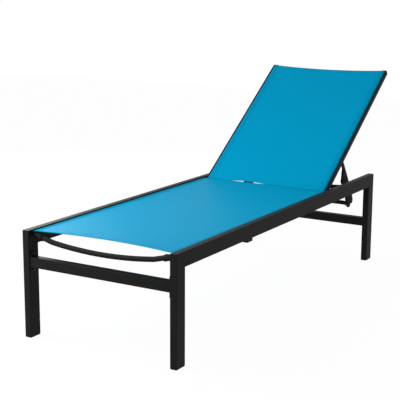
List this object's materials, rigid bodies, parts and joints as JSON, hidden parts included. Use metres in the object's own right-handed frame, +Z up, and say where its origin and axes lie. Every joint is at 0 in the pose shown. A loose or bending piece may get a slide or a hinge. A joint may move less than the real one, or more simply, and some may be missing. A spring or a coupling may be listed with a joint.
{
  "type": "chaise lounge",
  "caption": "Armless outdoor chaise lounge: rectangular tube frame, woven sling seat and a reclining sling back on notched support arms.",
  "frame": {"origin": "on the floor, under the middle of the bounding box with the back at its pictured angle", "axes": "+X to the right seen from the foot end, +Y from the foot end to the head end, +Z up"},
  "size_m": [0.65, 1.8982, 0.8571],
  "materials": {
    "frame": "satin charcoal powder coat",
    "hardware": "dark plated steel",
    "plastic": "matt black moulded plastic",
    "sling": "woven blue mesh sling"
  },
  "bodies": {
    "base": {"side_rail_right": "frame", "side_rail_left": "frame", "front_leg_right": "frame", "front_leg_left": "frame", "rear_leg_right": "frame", "rear_leg_left": "frame", "foot_glides": "plastic", "front_stretcher": "frame", "rear_stretcher": "frame", "front_stretcher_flanges": "frame", "rear_stretcher_flanges": "frame", "stretcher_bolts": "hardware", "front_bar": "frame", "front_bar_saddles": "frame", "middle_bar": "frame", "middle_bar_saddles": "frame", "rest_bar": "frame", "rest_bar_saddles": "frame", "saddle_screws": "hardware", "seat_sling": "sling", "seat_edge_cord_right": "plastic", "seat_edge_cord_left": "plastic", "hinge_bolts": "hardware", "hinge_inserts": "hardware"},
    "back": {"back_rail_right": "frame", "back_rail_left": "frame", "back_upper_bar": "frame", "back_lower_bar": "frame", "back_bar_screws": "hardware", "back_upper_caps": "plastic", "back_lower_caps": "plastic", "back_sling": "sling", "back_edge_cord_right": "plastic", "back_edge_cord_left": "plastic", "hinge_bushes": "plastic", "arm_bolts": "hardware", "arm_spacers": "plastic"},
    "support": {"notched_arm_right": "frame", "notched_arm_left": "frame", "arm_rod": "frame", "arm_rod_plugs": "plastic", "arm_rod_screws": "hardware"}
  },
  "joints": [
    {"name": "back_recline", "type": "hinge", "parent": "base", "child": "back", "pos_m": [0, 0.29863, 0.389], "axis": [1, 0, 0], "range_deg": [-35.5, 12]},
    {"name": "support_swing", "type": "hinge", "parent": "back", "child": "support", "pos_m": [0, 0.49892, 0.53186], "axis": [1, 0, 0], "range_deg": [-12, 35.5]}
  ],
  "couplings": [
    {"joint": "support_swing", "follows": "back_recline", "ratio": -1}
  ]
}
